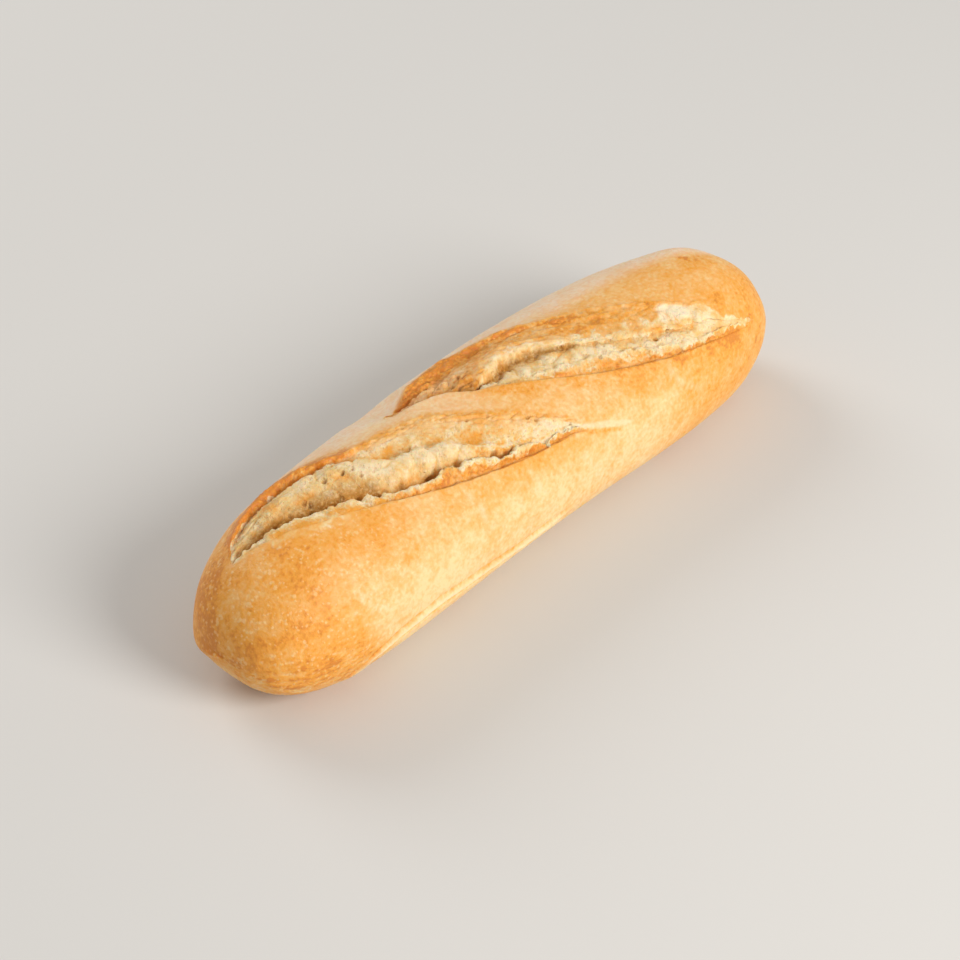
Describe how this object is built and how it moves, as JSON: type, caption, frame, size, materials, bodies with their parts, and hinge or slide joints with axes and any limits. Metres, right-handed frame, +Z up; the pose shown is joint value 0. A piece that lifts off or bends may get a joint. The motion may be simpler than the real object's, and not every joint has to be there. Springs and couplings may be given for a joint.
{
  "type": "baguette",
  "caption": "Half-length baguette with rounded ends, a flat baked sole and long diagonal scores that opened in the oven; lies on its sole.",
  "frame": {"origin": "on the surface that the loaf rests on, under the middle of its bounding box", "axes": "+X along the loaf, towards the end that bends further sideways; +Z up; the lower lips of the scores face -Y"},
  "size_m": [0.255, 0.074, 0.052],
  "materials": {
    "crust": "matte to satin baked crust, golden yellow-orange on the flanks, orange-brown at the near end and along the torn lips, and pale cream porous crumb where the scores opened"
  },
  "bodies": {
    "root": {"loaf": "crust"}
  },
  "joints": []
}
